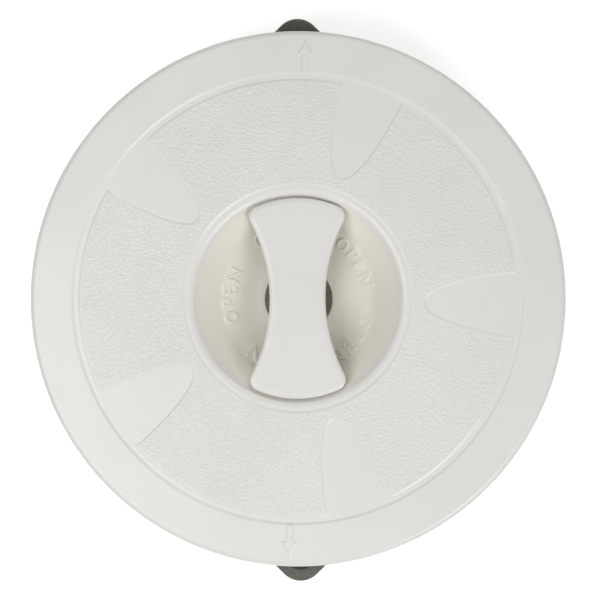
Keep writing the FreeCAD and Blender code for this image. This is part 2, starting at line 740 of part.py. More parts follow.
def make_bolt():
    washer = plain_ring("bolt_washer", "flat_washer_radius", "bolt_radius + hole_gap",
                        f"{BAR_UNDER} - flat_washer_wall", "flat_washer_wall")
    turn_with_bar(washer)
    spring_low = f"({BAR_UNDER} - flat_washer_wall - spring_washer_wall)"
    spring = plain_ring("spring_washer", "spring_washer_radius", "bolt_radius + hole_gap",
                        spring_low, "spring_washer_wall")
    split = new_sketch(spring, "washer_split", "XY_Plane", height=f"{BAR_UNDER} - flat_washer_wall")
    rectangle(split, "0", "spring_washer_radius * 2", "- spring_washer_split / 2", "spring_washer_split / 2")
    pocket(spring, "split_cut", split)
    turn_with_bar(spring)

    bolt = new_body("centre_bolt")
    flats = new_sketch(bolt, "bolt_flats", "XY_Plane", height=spring_low)
    corner = "bolt_across_flats / 2 / cos(30 deg)"
    outline(flats, [(f"{corner} * cos({angle} deg)", f"{corner} * sin({angle} deg)" if angle % 180 else "0")
                    for angle in range(0, 360, 60)])
    pad(bolt, "bolt_head", flats, "bolt_head_height", down=True)
    shank = new_sketch(bolt, "bolt_shank", "XY_Plane", height=spring_low)
    circle(shank, "bolt_radius")
    pad(bolt, "bolt_thread", shank, "bolt_length")
    turn_with_bar(bolt)


make_lid_cover()
make_seal_and_ring()
make_spindle()
make_spindle_fittings()
make_handle()
make_bar()
make_bolt()
doc.recompute()

# Nothing is written unless every object is sound.
for thing in doc.Objects:
    faults = [state for state in thing.State if state in ("Invalid", "Error")]
    if faults:
        raise RuntimeError(f"{thing.Label}: {faults}")
for node in nodes:
    if node.Shape.isNull() or not node.Shape.isValid():
        raise RuntimeError(f"{node.Label} has no sound shape")

os.makedirs("parts", exist_ok=True)
for node in nodes:
    node.Shape.exportStep(f"parts/{node.Label}.step")
    print(f"{node.Label}: {len(node.Shape.Solids)} solids, {node.Shape.Volume / 1000:.2f} cm3")
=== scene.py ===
# %% [markdown]
# # A deck hatch lid
# A round plastic lid closes a hole in a boat's deck. A bow-tie handle sits in a dish in its middle, and
# turns a dark bar under the deck. The solid model of every part is already made, so it is loaded as a fixed
# frame. This lesson gives the parts their real surfaces, and remodels the ones that are seen close up.

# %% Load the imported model
import math

import bmesh
import bpy
from mathutils import Matrix, Vector


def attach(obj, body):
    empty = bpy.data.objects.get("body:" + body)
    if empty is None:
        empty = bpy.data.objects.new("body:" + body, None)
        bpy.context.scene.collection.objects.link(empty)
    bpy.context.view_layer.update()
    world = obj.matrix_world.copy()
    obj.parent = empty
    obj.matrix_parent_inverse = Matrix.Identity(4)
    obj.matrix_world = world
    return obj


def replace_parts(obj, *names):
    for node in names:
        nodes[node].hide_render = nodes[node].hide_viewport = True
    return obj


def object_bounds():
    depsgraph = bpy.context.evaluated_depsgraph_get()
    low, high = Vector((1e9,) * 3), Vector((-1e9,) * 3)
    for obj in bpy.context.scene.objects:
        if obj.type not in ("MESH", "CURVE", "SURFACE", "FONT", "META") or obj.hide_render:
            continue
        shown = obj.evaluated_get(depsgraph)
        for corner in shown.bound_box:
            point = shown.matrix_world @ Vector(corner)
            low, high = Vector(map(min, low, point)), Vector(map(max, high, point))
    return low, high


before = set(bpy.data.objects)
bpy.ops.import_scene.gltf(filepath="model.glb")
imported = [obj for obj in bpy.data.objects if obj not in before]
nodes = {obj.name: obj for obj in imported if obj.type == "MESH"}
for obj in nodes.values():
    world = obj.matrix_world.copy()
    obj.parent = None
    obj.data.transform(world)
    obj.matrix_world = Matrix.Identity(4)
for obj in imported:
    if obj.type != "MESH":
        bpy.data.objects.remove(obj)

MM = 0.001
cad_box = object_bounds()
print(len(nodes), "parts, box in mm:", [[round(v / MM, 1) for v in corner] for corner in cad_box])

# %% [markdown]
# ## Camera
# The photograph looks down on the lid from far away, so the rim is close to a true circle. A long lens 1.5 m
# above the rim gives that view. The dark disc deep in the dish sits a little to the right of the handle
# above it, so the camera leans by about 2 degrees. That is an estimate from this one pair of parts, and the
# 1.3 degrees the other way are a guess. The lid also lies a little off the picture's middle and is turned
# 1.8 degrees. The camera gets all of this, and the model stays.

# %% Make the camera
LID_TURN = math.radians(1.8)
VIEW_WIDTH = 279.7 * MM
VIEW_HEIGHT = 1.4975
SENSOR_WIDTH = 36
AIM = (1.26 * MM, -0.85 * MM, 11.5 * MM)
LEAN_RIGHT = math.radians(2.0)
LEAN_DOWN = math.radians(1.3)

camera_data = bpy.data.cameras.new("photo_camera")
camera_data.sensor_width = SENSOR_WIDTH
camera_data.lens = SENSOR_WIDTH * VIEW_HEIGHT / VIEW_WIDTH
camera = bpy.data.objects.new("photo_camera", camera_data)
bpy.context.scene.collection.objects.link(camera)
lean = Matrix.Rotation(LEAN_DOWN, 4, "X") @ Matrix.Rotation(LEAN_RIGHT, 4, "Y")
camera.matrix_world = (Matrix.Rotation(LID_TURN, 4, "Z") @ Matrix.Translation(AIM) @ lean
                       @ Matrix.Translation((0, 0, VIEW_HEIGHT)))
bpy.context.scene.camera = camera
print("lens", round(camera_data.lens, 1), "mm")

# %% [markdown]
# ## Colours and nodes
# A shader socket takes linear colour, but a colour given here is sRGB, so one function turns the second
# into the first. Another adds a node, sets it and joins its inputs, which keeps each material to a few
# lines.

# %% Make the helpers for materials
def linear(hex_colour):
    """An sRGB hex colour as the linear colour that a socket takes."""
    parts = [int(hex_colour[i:i + 2], 16) / 255 for i in (1, 3, 5)]
    return [part / 12.92 if part <= 0.04045 else ((part + 0.055) / 1.055) ** 2.4 for part in parts] + [1.0]


def add_node(tree, kind, settings=None, **inputs):
    """Adds a node. An input takes a value or a node's output. Its name has _ for a space, or is _0, _1..."""
    made = tree.nodes.new("ShaderNode" + kind)
    for name, value in (settings or {}).items():
        setattr(made, name, value)
    for name, value in inputs.items():
        number = name[1:]
        socket = made.inputs[int(number)] if number.isdigit() else made.inputs[name.replace("_", " ")]
        if isinstance(value, bpy.types.NodeSocket):
            tree.links.new(value, socket)
        else:
            socket.default_value = value
    return made


def new_material(name):
    """An empty material, and its node tree."""
    material = bpy.data.materials.new(name)
    material.use_nodes = True
    material.node_tree.nodes.clear()
    return material, material.node_tree


def per_mm(pitch):
    """The texture scale that repeats about every pitch millimetres."""
    return 1 / (pitch * MM)


print("white is", linear("#FFFFFF"))

# %% [markdown]
# ## Light
# Soft light from all round does most of the work. The main lamp stands at the lower right and draws a
# bright line on the edges that face it. A far lamp at the top fills the dark side, and a close one at the
# lower left makes that part of the lid a little paler. The lamps are broad, so the handle's shadow has a
# soft edge. Their strengths were chosen until the lid looked like the photograph. Behind the floor the
# camera sees a brighter world than the one that lights the lid, and a light path node tells the two apart.

# %% Make the world
SOFT_LIGHT = 0.375
BACKDROP = 1.0

world = bpy.data.worlds.new("studio")
bpy.context.scene.world = world
world.use_nodes = True
tree = world.node_tree
tree.nodes.clear()
path = add_node(tree, "LightPath")
soft = add_node(tree, "Background", Strength=SOFT_LIGHT)
backdrop = add_node(tree, "Background", Strength=BACKDROP)
choice = add_node(tree, "MixShader", _0=path.outputs["Is Camera Ray"], _1=soft.outputs[0],
                  _2=backdrop.outputs[0])
add_node(tree, "OutputWorld", Surface=choice.outputs[0])
print("world:", len(tree.nodes), "nodes")


# %% Make the lamps
def add_lamp(name, place, size, watts):
    """A square area lamp that looks at the lid's middle. Its place and size are in metres."""
    data = bpy.data.lights.new(name, "AREA")
    data.size = size
    data.energy = watts
    lamp = bpy.data.objects.new(name, data)
    bpy.context.scene.collection.objects.link(lamp)
    turn = (-Vector(place)).to_track_quat("-Z", "Y").to_matrix().to_4x4()
    lamp.matrix_world = Matrix.Translation(place) @ turn
    lamp.visible_camera = False
    print(name, round(Vector(place).length, 2), "m away,", watts, "W")


add_lamp("main_lamp", (0.669, -0.797, 0.937), size=0.5, watts=6.1)
add_lamp("far_lamp", (0.392, 1.078, 0.803), size=0.5, watts=2.5)
add_lamp("close_lamp", (-0.325, -0.188, 0.706), size=0.45, watts=2.5)
bpy.context.scene.view_settings.view_transform = "Standard"

# %% [markdown]
# ## The lid's plastic
# The lid and handle are ASA, the weather-proof cousin of ABS, injection moulded in white. It is a warm
# white with a satin skin. The tread between the rim and the dish has a leather grain cut into the mould,
# with cells about 1 mm across, for bare feet. It covers the tread's flat top only, and is so fine that a
# bump is enough. The bump is set deeper than a real grain, until it looks as strong as the photograph's.
# Down in the dish the colour is painted yellower and paler. This is painted light, standing in for warm
# light bounced round the dish and passed through the plastic.

# %% Make the white plastic
SKIN_PITCH, SKIN_DEPTH = 1.2, 0.004
GRAIN_PITCH = 1.0
WANDER_PITCH, WANDER = 3.0, 0.7
PATCH_PITCH = 45.0
# Heights in mm over which the dish's painted bounce light fades in
PAINTED_BOUNCE_FROM, PAINTED_BOUNCE_TO = 10.5, 6


def white_plastic(name, roughness, grain_depth):
    """Moulded ASA, smooth or with the tread's grain, which is a bump of grain_depth mm."""
    material, tree = new_material(name)
    place = add_node(tree, "TexCoord").outputs["Object"]
    skin = add_node(tree, "TexNoise", Vector=place, Scale=per_mm(SKIN_PITCH), Detail=3.0)
    bump = add_node(tree, "Bump", Height=skin.outputs["Fac"], Strength=1.0, Distance=SKIN_DEPTH * MM)
    if grain_depth:
        wander = add_node(tree, "TexNoise", Vector=place, Scale=per_mm(WANDER_PITCH), Detail=2.0)
        bent = add_node(tree, "VectorMath", {"operation": "MULTIPLY_ADD"}, _0=wander.outputs["Color"],
                        _1=[WANDER * MM] * 3, _2=place)
        cells = add_node(tree, "TexVoronoi", {"feature": "SMOOTH_F1"}, Vector=bent.outputs[0],
                         Scale=per_mm(GRAIN_PITCH), Smoothness=0.35)
        bump = add_node(tree, "Bump", Height=cells.outputs["Distance"], Strength=1.0,
                        Distance=grain_depth * MM, Normal=bump.outputs[0])
    patches = add_node(tree, "TexNoise", Vector=place, Scale=per_mm(PATCH_PITCH), Detail=4.0)
    tint = add_node(tree, "ValToRGB", Fac=patches.outputs["Fac"])
    tint.color_ramp.elements[0].position = 0.35
    tint.color_ramp.elements[0].color = linear("#E6E5E0")
    tint.color_ramp.elements[1].position = 0.65
    tint.color_ramp.elements[1].color = linear("#E9E8E4")
    # From 10.5 mm down to 6 mm the base colour is painted warmer and paler: painted light for the warm
    # bounce in the dish
    level = add_node(tree, "SeparateXYZ", Vector=place)
    depth = add_node(tree, "MapRange", Value=level.outputs["Z"], From_Min=PAINTED_BOUNCE_FROM * MM,
                     From_Max=PAINTED_BOUNCE_TO * MM)
    tint_with_painted_bounce = add_node(tree, "Mix", {"data_type": "RGBA"}, _0=depth.outputs[0], _6=tint.outputs["Color"],
                     _7=linear("#EFECE2"))
    rough = add_node(tree, "MapRange", Value=skin.outputs["Fac"], To_Min=roughness - 0.06,
                     To_Max=roughness + 0.06)
    shader = add_node(tree, "BsdfPrincipled", Base_Color=tint_with_painted_bounce.outputs[2], Roughness=rough.outputs[0],
                      IOR=1.52, Normal=bump.outputs[0])
    add_node(tree, "OutputMaterial", Surface=shader.outputs[0])
    print(name, len(tree.nodes), "nodes")
    return material


asa_white = white_plastic("asa_white_satin", roughness=0.32, grain_depth=0)
asa_grained = white_plastic("asa_white_leather_grain", roughness=0.42, grain_depth=0.36)

# %% [markdown]
# ## The dark plastics
# The bar is nylon filled with glass fibre: stiff, a dull olive grey, with fibres that show as fine pale
# flecks. The spindle is the same. The seal's ring and the wear pads are black nylon with a smoother skin.

# %% Make the two nylons
MOULD_PITCH = 1.5


def flecked_plastic(name, colour, fleck_colour, roughness, fleck_pitch, skin_depth):
    """A moulded plastic or rubber: a plain ground with fine flecks, and an uneven skin."""
    material, tree = new_material(name)
    place = add_node(tree, "TexCoord").outputs["Object"]
    flecks = add_node(tree, "TexNoise", Vector=place, Scale=per_mm(fleck_pitch), Detail=3.0, Roughness=0.7)
    tint = add_node(tree, "ValToRGB", Fac=flecks.outputs["Fac"])
    tint.color_ramp.elements[0].position = 0.45
    tint.color_ramp.elements[0].color = linear(colour)
    tint.color_ramp.elements[1].position = 0.8
    tint.color_ramp.elements[1].color = linear(fleck_colour)
    skin = add_node(tree, "TexNoise", Vector=place, Scale=per_mm(MOULD_PITCH), Detail=4.0)
    rough = add_node(tree, "MapRange", Value=skin.outputs["Fac"], To_Min=roughness - 0.08,
                     To_Max=roughness + 0.08)
    bump = add_node(tree, "Bump", Height=skin.outputs["Fac"], Strength=1.0, Distance=skin_depth * MM)
    shader = add_node(tree, "BsdfPrincipled", Base_Color=tint.outputs["Color"], Roughness=rough.outputs[0],
                      IOR=1.53, Normal=bump.outputs[0])
    add_node(tree, "OutputMaterial", Surface=shader.outputs[0])
    print(name, len(tree.nodes), "nodes")
    return material


nylon_grey = flecked_plastic("nylon_glass_filled_grey", "#5B5C53", "#7C7D73", roughness=0.55,
                             fleck_pitch=0.8, skin_depth=0.03)
nylon_black = flecked_plastic("nylon_moulded_black", "#1F1F1F", "#2E2E2D", roughness=0.42,
                              fleck_pitch=1.2, skin_depth=0.015)

# %% [markdown]
# ## Rubber, acetal and metals
# The seal is EPDM rubber: black, matt, dusted by the mould's talc. The thrust washers are acetal, a milky
# plastic that shines a little. The bolt, washers and screws are stainless steel, and the threaded inserts
# are brass.

# %% Make the rubber and the acetal
epdm = flecked_plastic("epdm_rubber_moulded", "#161616", "#262625", roughness=0.75, fleck_pitch=0.6,
                       skin_depth=0.02)
pom = flecked_plastic("acetal_turned", "#DAD8CF", "#E2E0D8", roughness=0.3, fleck_pitch=4.0,
                      skin_depth=0.004)


# %% Make the metals
LINE_DEPTH = 0.006


def metal(name, colour, roughness, line_pitch):
    """A worked metal with an uneven skin, drawn coarser than life so that it shows."""
    material, tree = new_material(name)
    place = add_node(tree, "TexCoord").outputs["Object"]
    lines = add_node(tree, "TexNoise", Vector=place, Scale=per_mm(line_pitch), Detail=2.0)
    rough = add_node(tree, "MapRange", Value=lines.outputs["Fac"], To_Min=roughness - 0.08,
                     To_Max=roughness + 0.1)
    bump = add_node(tree, "Bump", Height=lines.outputs["Fac"], Strength=1.0, Distance=LINE_DEPTH * MM)
    shader = add_node(tree, "BsdfPrincipled", Base_Color=linear(colour), Metallic=1.0,
                      Roughness=rough.outputs[0], Normal=bump.outputs[0])
    add_node(tree, "OutputMaterial", Surface=shader.outputs[0])
    print(name, len(tree.nodes), "nodes")
    return material


stainless = metal("stainless_steel_a4", "#C9C8C4", roughness=0.28, line_pitch=0.5)
brass = metal("brass_turned", "#D9B56A", roughness=0.3, line_pitch=0.4)

# %% [markdown]
# ## Dress the frame
# Each part of the frame names a material slot in the model's record, so one table turns slots into
# finishes.

# %% Give each part its finish
finishes = {
    "white_moulding": asa_white, "grey_moulding": nylon_grey, "black_moulding": nylon_black, "acetal": pom,
    "seal_rubber": epdm, "stainless": stainless, "brass": brass,
}
for part in nodes.values():
    for slot in part.material_slots:
        slot.material = finishes.get(slot.material.name, slot.material)
print({name: part.material_slots[0].material.name for name, part in nodes.items()})

# %% [markdown]
# ## The lid's shell
# The lid is a turned shape: one outline, taken once round the axis. The dish in its middle runs down to a
# hub that holds the spindle, and the edge turns down into a skirt. The frame's mesh has the same shape, but
# its narrow roundings are made of few facets, and light shows each of them. So the outline is drawn once
# more with finer arcs: straight corners first, then a vertex bevel that rounds them, and a spin with 300
# steps.

# %% Turn an outline round the axis
AXIS = Vector((0, 0, 1))
ORIGIN = Vector((0, 0, 0))
LEVEL = 0.99999


def draw_outline(shape, corners, rounds):
    """A closed outline of (radius, height) corners in mm. rounds has (radius, segments) by corner."""
    verts = [shape.verts.new((radius * MM, 0, height * MM)) for radius, height in corners]
    for first, second in zip(verts, verts[1:] + verts[:1]):
        shape.edges.new((first, second))
    for number, (radius, segments) in rounds.items():
        corner = verts[number]
        one, other = [edge.other_vert(corner).co - corner.co for edge in corner.link_edges]
        cut_back = radius * MM / math.tan(one.angle(other) / 2)
        bmesh.ops.bevel(shape, geom=[corner], offset=cut_back, segments=segments, profile=0.5,
                        affect="VERTICES", material=-1)


def turned(corners, rounds, steps):
    """A bmesh of an outline taken once round the Z axis."""
    shape = bmesh.new()
    draw_outline(shape, corners, rounds)
    bmesh.ops.spin(shape, geom=[*shape.verts, *shape.edges], axis=AXIS, cent=ORIGIN, angle=math.tau,
                   steps=steps, use_merge=True)
    bmesh.ops.recalc_face_normals(shape, faces=shape.faces)
    return shape


sample = turned([(1, 0), (2, 0), (2, 1), (1, 1)], {2: (0.5, 4)}, 8)
print("a square ring with one rounded corner has", len(sample.faces), "faces")
sample.free()


# %% Hand a piece over to its body
def link_piece(name, shape, material, body, smooth_below=35):
    """Turns a bmesh into a piece that rides on a body. Level faces and sharp edges aren't shaded smooth."""
    for face in shape.faces:
        face.smooth = abs(face.normal.z) < LEVEL
    for edge in shape.edges:
        edge.smooth = edge.calc_face_angle(0) < math.radians(smooth_below)
    mesh = bpy.data.meshes.new(name)
    shape.to_mesh(mesh)
    shape.free()
    mesh.materials.append(material)
    piece = bpy.data.objects.new(name, mesh)
    bpy.context.scene.collection.objects.link(piece)
    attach(piece, body)
    print(name, len(mesh.polygons), "faces")
    return piece


# %% Turn the lid's shell
RIM, SEAT_OUTER, SEAT_INNER = 125, 104, 92
SKIRT = 122
BORE, HUB = 11.48, 16.5
RIM_TOP, CHANNEL, UNDERSIDE, LAND, SKIRT_LOW = 12, 11.3, 8.3, 5.3, 1
DISH_FLOOR, DISH_UNDER, HUB_LOW = -11.4, -14.4, -22.4
SHELL_STEPS = 300

lid_outline = [
    (RIM, SKIRT_LOW), (RIM, RIM_TOP), (105.6, RIM_TOP), (104.6, CHANNEL), (49.5, CHANNEL),
    (30.45, DISH_FLOOR), (BORE, DISH_FLOOR), (BORE, HUB_LOW), (HUB, HUB_LOW), (HUB, DISH_UNDER),
    (31.85, DISH_UNDER), (50.9, UNDERSIDE), (SEAT_INNER, UNDERSIDE), (SEAT_INNER, LAND),
    (SEAT_OUTER, LAND), (SEAT_OUTER, UNDERSIDE), (SKIRT, UNDERSIDE), (SKIRT, SKIRT_LOW),
]
lid_rounds = {
    0: (0.5, 3), 1: (2.7, 10), 2: (1.2, 4), 3: (0.8, 3), 4: (4, 12), 5: (24, 28), 10: (27, 16),
    11: (1.5, 4),
}
lid = turned(lid_outline, lid_rounds, SHELL_STEPS)
shell = link_piece("lid_shell", lid, asa_white, "lid", 25)
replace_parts(shell, "lid_cover")

# %% [markdown]
# ## Ribs, gussets and stops
# Under the lid, ten thin ribs run out from the dish to the ring's seat, six gussets brace the hub, and two
# square lugs stop the bar after a quarter turn. A rib or a gusset is a flat plate: one face, extruded by
# the wall's thickness, and then copied round the axis by a spin that duplicates instead of joining. A lug
# is a cube.

# %% Make the plates under the lid
PLATE = 2.2
LUG_SIZE = Vector((5.5, 5.5, 16.95))
LUG_MIDDLE = Vector((18.0, 18.0, -20.475))


def plates(shape, corners, thickness, count):
    """Adds count upright plates of (radius, height) corners in mm, spaced evenly round the Z axis."""
    before = {*shape.verts, *shape.edges, *shape.faces}
    face = shape.faces.new([shape.verts.new((radius * MM, -thickness / 2 * MM, height * MM))
                            for radius, height in corners])
    side = bmesh.ops.extrude_face_region(shape, geom=[face], use_keep_orig=True)["geom"]
    moved = [part for part in side if isinstance(part, bmesh.types.BMVert)]
    bmesh.ops.translate(shape, verts=moved, vec=(0, thickness * MM, 0))
    plate = [part for part in (*shape.verts, *shape.edges, *shape.faces) if part not in before]
    bmesh.ops.spin(shape, geom=plate, axis=AXIS, cent=ORIGIN, angle=math.tau * (count - 1) / count,
                   steps=count - 1, use_duplicate=True)


ribs = bmesh.new()
plates(ribs, [(45.0, 2.3), (91.7, 2.3), (91.7, LAND), (93.5, LAND), (93.5, 9.8), (49.3, 9.8)], PLATE, 10)
plates(ribs, [(15.4, -21.3), (28.0, -12.9), (15.4, -12.9)], PLATE, 6)
for side in (1, -1):
    lug = bmesh.ops.create_cube(ribs, size=MM)["verts"]
    bmesh.ops.scale(ribs, verts=lug, vec=LUG_SIZE)
    middle = Vector((side * LUG_MIDDLE.x, side * LUG_MIDDLE.y, LUG_MIDDLE.z))
    bmesh.ops.translate(ribs, verts=lug, vec=middle * MM)
bmesh.ops.recalc_face_normals(ribs, faces=ribs.faces)
link_piece("lid_ribs", ribs, asa_white, "lid")

# %% [markdown]
# ## The tread
# Five leaf shapes are left out of the grained ring round the dish, and their tips point at the middle. Each
# is one end of a long ellipse whose centre lies outside the lid. The Boolean modifier could cut them, but
# it is fragile with edges that nearly touch. So the outline is drawn as a line: part of a leaf, then part
# of the circle, five times. It is drawn again a little further in and higher for each step of the tread's
# sloping edge, and each line is bridged to the next. The slope catches the light and draws the pattern.

# %% Draw the tread's outlines
TREAD_TOP = 11.8
TREAD_EDGE = [(-1.9, 10.6), (0.2, 11.65), (0.33, 11.71), (0.47, 11.76), (0.62, 11.79), (0.8, TREAD_TOP)]
TREAD_RADIUS, TREAD_INNER = 102, 53.2
LEAVES = 5
LEAF_CENTRE, LEAF_LENGTH, LEAF_WIDTH = 149.3, 90, 17.75
LEAF_STEPS, CIRCLE_STEPS, INNER_STEPS = 30, 40, 200
TOP_FACE = 0.9999


def on_ellipse(angle, length, width):
    """The point in mm at an angle on an ellipse round the origin."""
    return Vector((length * math.cos(angle), width * math.sin(angle)))


def tread_outline(inset):
    """The corners of the tread's outer outline in mm, moved in by inset."""
    circle, length, width = TREAD_RADIUS - inset, LEAF_LENGTH + inset, LEAF_WIDTH + inset
    spread = length ** 2 - width ** 2
    root = math.sqrt((LEAF_CENTRE * length) ** 2 - spread * (LEAF_CENTRE ** 2 + width ** 2 - circle ** 2))
    meeting = math.acos((LEAF_CENTRE * length - root) / spread)
    first = math.atan2(width * math.sin(meeting), LEAF_CENTRE - length * math.cos(meeting))
    corners = []
    for number in range(LEAVES):
        turn = Matrix.Rotation(math.tau * number / LEAVES, 2)
        for step in range(-LEAF_STEPS, LEAF_STEPS + 1):
            leaf = Vector((LEAF_CENTRE, 0)) + on_ellipse(meeting * step / LEAF_STEPS, -length, width)
            corners.append(turn @ leaf)
        for step in range(1, CIRCLE_STEPS):
            angle = first + (math.tau / LEAVES - 2 * first) * step / CIRCLE_STEPS
            corners.append(turn @ on_ellipse(angle, circle, circle))
    return corners


def dish_side_outline(inset):
    """The corners of the tread's inner circle in mm, moved out by inset."""
    radius = TREAD_INNER + inset
    return [on_ellipse(math.tau * step / INNER_STEPS, radius, radius) for step in range(INNER_STEPS)]


print("the tread has", len(tread_outline(0)), "outer corners and", len(dish_side_outline(0)), "inner ones")


# %% Bridge them, and fill the top
def stacked(shape, outlines):
    """Draws closed lines of (x, y, z) corners in mm, bridges each to the next, and returns their edges."""
    lines = []
    for corners in outlines:
        verts = [shape.verts.new(Vector(corner) * MM) for corner in corners]
        lines.append([shape.edges.new(pair) for pair in zip(verts, verts[1:] + verts[:1])])
    for low, high in zip(lines, lines[1:]):
        bmesh.ops.bridge_loops(shape, edges=low + high)
    return lines


tread = bmesh.new()
border = []
for outline in (tread_outline, dish_side_outline):
    levels = [[(x, y, height) for x, y in outline(inset)] for inset, height in TREAD_EDGE]
    border += stacked(tread, levels)[-1]
bmesh.ops.triangle_fill(tread, edges=border, use_beauty=True, normal=(0, 0, 1))
bmesh.ops.recalc_face_normals(tread, faces=tread.faces)
for face in tread.faces:
    face.material_index = 0 if face.normal.z > TOP_FACE else 1
link_piece("lid_tread", tread, asa_grained, "lid", 45).data.materials.append(asa_white)

# %% [markdown]
# ## Arrows on the rim
# A raised arrow on either side of the lid, in line with the closed handle, shows how the lid goes into its
# frame. It is one flat face, and an inset lifts its middle and leaves a sloping edge. A new face has no
# normal until it is worked out, and the inset needs one to know which way is up.

# %% Raise the arrows
TIP, NECK, TAIL = 120.9, 113.1, 105.3
HALF_HEAD, HALF_STEM = 4.3, 1.95
ARROW_LOW, ARROW_PROUD, ARROW_SLOPE = 11.98, 0.47, 0.9

arrows = bmesh.new()
corners = [(0, TIP), (-HALF_HEAD, NECK), (-HALF_STEM, NECK), (-HALF_STEM, TAIL), (HALF_STEM, TAIL),
           (HALF_STEM, NECK), (HALF_HEAD, NECK)]
for side in (1, -1):
    places = [(side * x * MM, side * y * MM, ARROW_LOW * MM) for x, y in corners]
    face = arrows.faces.new([arrows.verts.new(place) for place in places])
    face.normal_update()
    bmesh.ops.inset_region(arrows, faces=[face], thickness=ARROW_SLOPE * MM, depth=ARROW_PROUD * MM,
                           use_boundary=True, use_even_offset=True)
link_piece("rim_arrows", arrows, asa_white, "lid", 20)

# %% [markdown]
# ## Lettering in the dish
# One raised word stands five times in the bowl, once between each two leaves of the tread. The words follow
# a circle and lean with the bowl's wall. Real ones are cut into the mould by a milling tool. Here each
# letter is a text object, made a mesh and cut into strips. Then each of its points is dropped on to the
# bowl.

# %% Make a flat letter
STRIPS = 8
CLOSE = 1e-5


def flat_letter(sign, width, height):
    """A bmesh of one letter in mm, width by height, centred on the origin, cut into strips to bend well."""
    curve = bpy.data.curves.new("letter", "FONT")
    curve.body = sign
    curve.extrude = 0.5
    curve.resolution_u = 4
    text = bpy.data.objects.new("letter", curve)
    bpy.context.scene.collection.objects.link(text)
    mesh = bpy.data.meshes.new_from_object(text.evaluated_get(bpy.context.evaluated_depsgraph_get()))
    letter = bmesh.new()
    letter.from_mesh(mesh)
    bpy.data.objects.remove(text)
    bpy.data.curves.remove(curve)
    bpy.data.meshes.remove(mesh)
    bmesh.ops.remove_doubles(letter, verts=letter.verts, dist=CLOSE)
    low = [min(vert.co[i] for vert in letter.verts) for i in (0, 1)]
    high = [max(vert.co[i] for vert in letter.verts) for i in (0, 1)]
    to_middle = (-(low[0] + high[0]) / 2, -(low[1] + high[1]) / 2, 0)
    to_size = (width / (high[0] - low[0]), height / (high[1] - low[1]), 1)
    bmesh.ops.translate(letter, verts=letter.verts, vec=to_middle)
    bmesh.ops.scale(letter, verts=letter.verts, vec=to_size)
    for across, size in ((Vector((1, 0, 0)), width), (Vector((0, 1, 0)), height)):
        for step in range(1, STRIPS):
            cut = across * ((step - STRIPS / 2) * size / STRIPS)
            everything = [*letter.verts, *letter.edges, *letter.faces]
            bmesh.ops.bisect_plane(letter, geom=everything, dist=CLOSE, plane_co=cut, plane_no=across)
    return letter


sample = flat_letter("O", 5, 6)
print("an O has", len(sample.faces), "faces")
sample.free()

# %% Drop the letters on to the bowl
FIRST_WORD, BETWEEN_WORDS = 55.3, 360 / LEAVES
LETTERS = [("O", -18.3, 9.2), ("P", -6.0, 7.2), ("E", 4.2, 7.0), ("N", 17.2, 10.6)]
WORD_RADIUS = 33.0
LETTER_HEIGHT = 6.0
LETTER_PROUD = 0.6
LETTER_SUNK = 0.3
RAY_HEIGHT = 50


def on_bowl(point, clockwise):
    """The place on the bowl of a flat letter's point in mm, at an angle clockwise from the arrow."""
    radius = (WORD_RADIUS + point.y) * MM
    angle = math.radians(clockwise) + point.x / WORD_RADIUS
    above = Vector((radius * math.sin(angle), radius * math.cos(angle), RAY_HEIGHT * MM))
    _, hit, normal, _ = shell.ray_cast(above, -AXIS)
    rise = LETTER_PROUD if point.z > 0 else -LETTER_SUNK
    return hit + normal * rise * MM


bpy.context.view_layer.update()
words = bmesh.new()
for number in range(LEAVES):
    middle = FIRST_WORD + BETWEEN_WORDS * number
    for sign, turn, width in LETTERS:
        letter = flat_letter(sign, math.radians(width) * WORD_RADIUS, LETTER_HEIGHT)
        for vert in letter.verts:
            vert.co = on_bowl(vert.co, middle + turn)
        placed = bpy.data.meshes.new("placed")
        letter.to_mesh(placed)
        letter.free()
        words.from_mesh(placed)
        bpy.data.meshes.remove(placed)
bmesh.ops.recalc_face_normals(words, faces=words.faces)
link_piece("dish_lettering", words, asa_white, "lid")

# %% [markdown]
# ## The handle
# The handle is a bow tie with a gently crowned edge, which catches the light in a soft band all round. Its
# ends lean in below to follow the dish's wall, and it is hollow underneath, with a block for the spindle
# and a rib along each wing. Every arc of its outline keeps its centre when the outline moves in, so one
# function draws it at any inset, and the outlines are stacked and bridged like the tread's.

# %% Draw the handle's outline
HANDLE_TOP = 12.5
HANDLE_UNDER = 1.5
SIDE_AT, SIDE_RADIUS, SIDE_SWEEP = 89.95, 77, 27.7
CORNER_AT, CORNER_RADIUS = Vector((17.357, 38.14)), 5
END_RADIUS, END_SWEEP = 46.9, 24.5
REACH, WALL_SLOPE = 47.8, math.radians(50)
LONG_STEPS, SHORT_STEPS = 40, 16


def arc(centre, radius, start, end, steps):
    """Points in mm along an arc, without its last one."""
    angles = [math.radians(start + (end - start) * step / steps) for step in range(steps)]
    x, y = centre
    return [(x + radius * math.cos(angle), y + radius * math.sin(angle)) for angle in angles]


